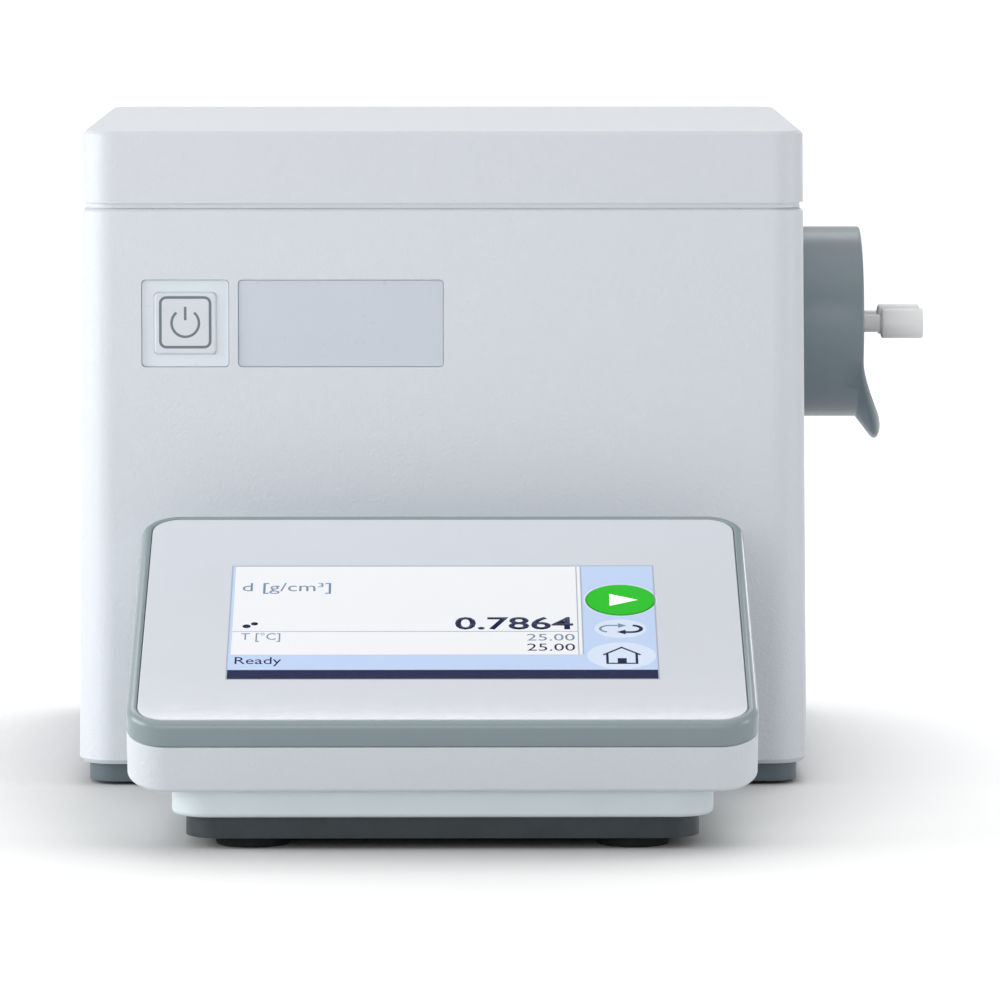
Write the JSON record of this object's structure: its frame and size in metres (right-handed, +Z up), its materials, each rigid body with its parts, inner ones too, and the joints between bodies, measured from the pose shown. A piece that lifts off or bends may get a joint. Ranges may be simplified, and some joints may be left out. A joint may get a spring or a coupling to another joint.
{
  "type": "benchtop density meter",
  "caption": "Benchtop instrument that measures the density of liquids: square lidded housing with a sample port in a collar at the side, and a tilted touch terminal in front.",
  "frame": {"origin": "on the bench, under the middle of the whole object's box", "axes": "+Z up, -Y to the user's side with the terminal, +X to the side with the sample port"},
  "size_m": [0.3224, 0.4402, 0.2446],
  "materials": {
    "shell_white": "fine textured paint on moulded foam",
    "lid_white": "fine textured paint on moulded foam",
    "plinth_slate": "moulded, fine grain",
    "foot_rubber": "soft black rubber",
    "screw_steel": "zinc plated",
    "hinge_steel": "turned and brushed",
    "pad_felt": "soft bumper strip",
    "deck_grey": "moulded, fine grain",
    "window_glass": "clear polished",
    "frame_grey": "satin moulded",
    "drying_beads": "orange beads behind clear wall",
    "cap_black": "moulded",
    "key_white": "satin moulded",
    "key_surround_white": "satin moulded",
    "plate_grey": "smooth bare plate",
    "switch_black": "moulded",
    "board_green": "solder mask",
    "collar_grey": "satin moulded",
    "port_black": "smooth moulded",
    "seal_rubber": "soft ring",
    "adapter_white": "turned fluoropolymer",
    "tube_glass": "clear fire polished",
    "block_aluminium": "machined",
    "jacket_foam": "closed cell foam",
    "peltier_ceramic": "ground faces",
    "sink_aluminium": "extruded, black anodised edges",
    "post_steel": "turned",
    "fan_black": "moulded",
    "panel_grey": "powder coated sheet",
    "guard_black": "powder coated sheet",
    "socket_black": "moulded",
    "socket_steel": "stamped shell",
    "support_slate": "fine textured paint",
    "terminal_white": "fine textured paint on moulding",
    "bezel_grey": "satin moulded",
    "fascia_print": "back printed touch glass",
    "display_dark": "moulded frame"
  },
  "bodies": {
    "instrument": {"main_housing": "shell_white", "base_pan": "plinth_slate", "housing_feet": "foot_rubber", "base_screws": "screw_steel", "hinge_brackets": "hinge_steel", "lid_pads": "pad_felt", "top_deck": "deck_grey", "deck_screws": "screw_steel", "cell_window": "window_glass", "window_frame": "frame_grey", "drying_cartridge": "drying_beads", "cartridge_caps": "cap_black", "key_surround": "key_surround_white", "power_switch": "switch_black", "key_board": "board_green", "front_plate": "plate_grey", "port_collar": "collar_grey", "port_plate": "port_black", "adapter_seals": "seal_rubber", "inlet_adapter": "adapter_white", "outlet_adapter": "adapter_white", "u_tube": "tube_glass", "cell_block": "block_aluminium", "cell_jacket": "jacket_foam", "peltier_elements": "peltier_ceramic", "heat_sink": "sink_aluminium", "stand_posts": "post_steel", "fan_frame": "fan_black", "rear_panel": "panel_grey", "fan_guard": "guard_black", "fan_screws": "screw_steel", "panel_screws": "screw_steel", "main_board": "board_green", "board_standoffs": "post_steel", "power_socket": "socket_black", "usb_device_socket": "socket_steel", "usb_host_socket": "socket_steel", "serial_socket": "socket_steel", "support_plate": "support_slate", "support_screws": "screw_steel", "terminal_screws": "screw_steel", "terminal_feet": "foot_rubber", "terminal_base": "terminal_white", "terminal_tray": "terminal_white", "terminal_bezel": "bezel_grey", "fascia_glass": "fascia_print", "display_module": "display_dark", "terminal_board": "board_green"},
    "lid": {"lid": "lid_white", "hinge_pins": "hinge_steel"},
    "power_key": {"power_key": "key_white", "switch_plunger": "switch_black"},
    "fan_rotor": {"fan_impeller": "fan_black"}
  },
  "joints": [
    {"name": "lid_hinge", "type": "hinge", "parent": "instrument", "child": "lid", "pos_m": [-0.02475, 0.21464, 0.2209], "axis": [-1, 0, 0], "range_deg": [0, 95]},
    {"name": "power_key_press", "type": "slide", "parent": "instrument", "child": "power_key", "axis": [0, 1, 0], "range_m": [0, 0.0008], "stiffness_N_per_m": 600},
    {"name": "fan_spin", "type": "hinge", "parent": "instrument", "child": "fan_rotor", "pos_m": [0.03325, 0.20286, 0.112], "axis": [0, 1, 0], "continuous": true}
  ]
}
